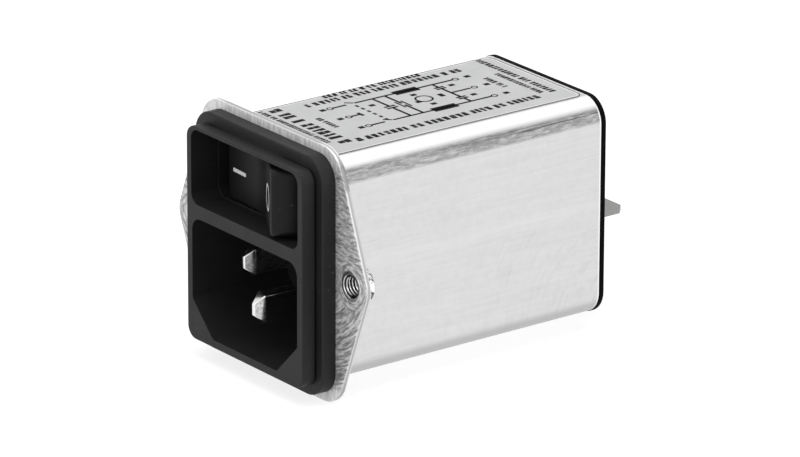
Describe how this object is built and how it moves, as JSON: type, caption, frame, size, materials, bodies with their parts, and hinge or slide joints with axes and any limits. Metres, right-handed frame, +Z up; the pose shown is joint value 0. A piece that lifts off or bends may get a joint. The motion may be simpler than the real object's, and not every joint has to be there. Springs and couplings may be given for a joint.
{
  "type": "power entry module",
  "caption": "Panel-mounted power inlet with rocker switch and line filter in a drawn metal can, six-sided screw flange in front and blade terminals behind.",
  "frame": {"origin": "midway between the two screw holes, on the front face of the mounting flange", "axes": "+X to the right seen from the front, +Y into the panel along the can, +Z up"},
  "size_m": [0.043, 0.0593, 0.0362],
  "materials": {
    "housing_plastic": "moulded, fine matt",
    "base_plastic": "moulded",
    "cover_plastic": "moulded",
    "rocker_plastic": "moulded, soft sheen",
    "plunger_plastic": "moulded",
    "drawn_steel": "tin-plated, drawn, satin",
    "plated_nut": "zinc-plated",
    "label_foil": "matt foil",
    "plated_pin": "nickel-plated",
    "tinned_blade": "tin-plated brass",
    "spring_wire": "drawn wire",
    "contact_copper": "copper alloy strip",
    "board_laminate": "glass laminate",
    "ferrite": "sintered",
    "winding_wire": "enamelled copper",
    "capacitor_case": "moulded case",
    "disc_coating": "dipped epoxy",
    "resistor_coating": "lacquered"
  },
  "bodies": {
    "module": {"front_housing": "housing_plastic", "filter_can": "drawn_steel", "clinch_nuts": "plated_nut", "rear_cover": "cover_plastic", "rating_label": "label_foil", "line_pin": "plated_pin", "neutral_pin": "plated_pin", "earth_pin": "plated_pin", "line_terminal": "tinned_blade", "neutral_terminal": "tinned_blade", "earth_terminal": "tinned_blade", "switch_base": "base_plastic", "pivot_terminal_upper": "contact_copper", "pivot_terminal_lower": "contact_copper", "contact_terminal_upper": "contact_copper", "contact_terminal_lower": "contact_copper", "circuit_board": "board_laminate", "choke_core": "ferrite", "choke_winding_line": "winding_wire", "choke_winding_neutral": "winding_wire", "x_capacitor": "capacitor_case", "y_capacitor_line": "disc_coating", "y_capacitor_neutral": "disc_coating", "bleed_resistor": "resistor_coating"},
    "rocker": {"rocker": "rocker_plastic", "plunger_upper": "plunger_plastic", "plunger_lower": "plunger_plastic", "plunger_spring_upper": "spring_wire", "plunger_spring_lower": "spring_wire"},
    "contact_lever_upper": {"contact_lever_upper": "contact_copper"},
    "contact_lever_lower": {"contact_lever_lower": "contact_copper"}
  },
  "joints": [
    {"name": "rocker_swing", "type": "hinge", "parent": "module", "child": "rocker", "pos_m": [0, 0.0025, 0.0095], "axis": [0, 0, 1], "range_deg": [0, 34]},
    {"name": "upper_lever_swing", "type": "hinge", "parent": "module", "child": "contact_lever_upper", "pos_m": [0, 0.00746, 0.0114], "axis": [0, 0, 1], "range_deg": [-16, 0]},
    {"name": "lower_lever_swing", "type": "hinge", "parent": "module", "child": "contact_lever_lower", "pos_m": [0, 0.00746, 0.0076], "axis": [0, 0, 1], "range_deg": [-16, 0]}
  ],
  "couplings": [
    {"joint": "upper_lever_swing", "follows": "rocker_swing", "ratio": -0.4705},
    {"joint": "lower_lever_swing", "follows": "rocker_swing", "ratio": -0.4705}
  ]
}
